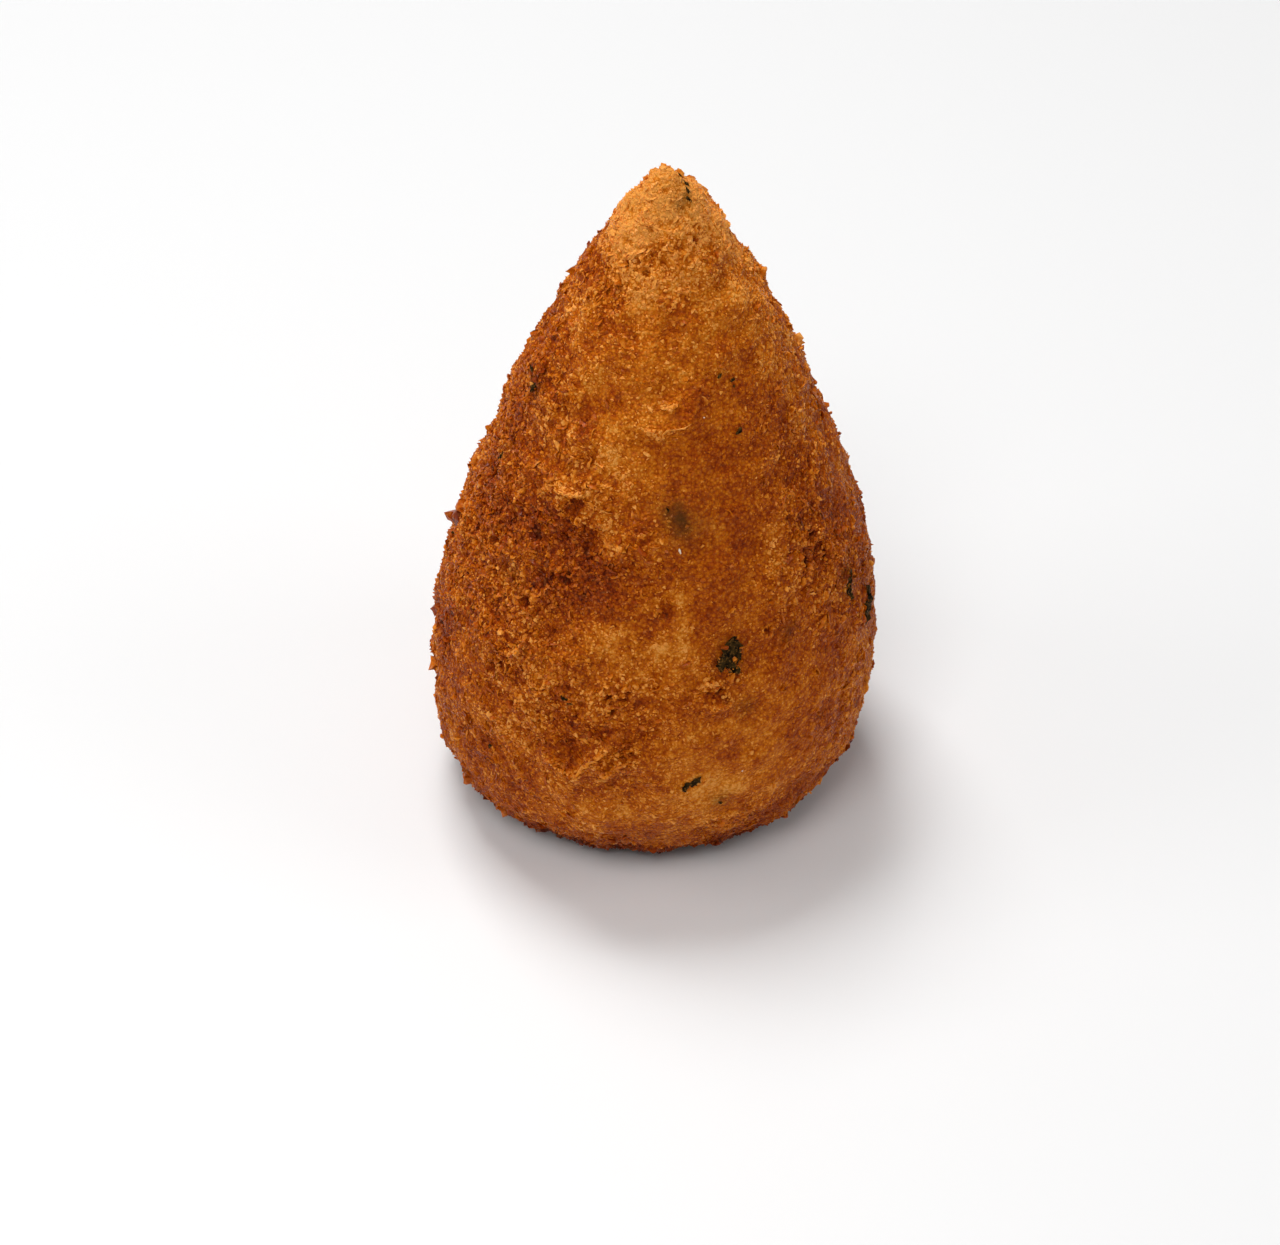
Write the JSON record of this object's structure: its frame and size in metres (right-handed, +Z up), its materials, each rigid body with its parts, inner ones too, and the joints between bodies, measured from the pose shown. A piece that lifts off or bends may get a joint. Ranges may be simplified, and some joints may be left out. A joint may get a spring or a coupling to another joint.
{
  "type": "coxinha",
  "caption": "Fried teardrop-shaped dough snack in a rough golden breadcrumb crust with herb flecks, standing on its small flat foot with the tip up.",
  "frame": {"origin": "middle of the small flat foot that it stands on", "axes": "+Z up to the tip, the side in the picture faces -Y, +X is on the right of someone who looks at that side"},
  "size_m": [0.0658, 0.0652, 0.1062],
  "materials": {
    "fried_crust": "deep-fried breadcrumb crust, golden to reddish brown, rough and dry with a slight oily sheen on the high grains",
    "breadcrumbs": "loose-grained fried breadcrumbs stuck to the crust, from pale gold to dark brown, rough",
    "herb_flecks": "fried chopped parsley, dark green to almost black, thin and crinkled"
  },
  "bodies": {
    "root": {"coxinha": "fried_crust"}
  },
  "joints": []
}
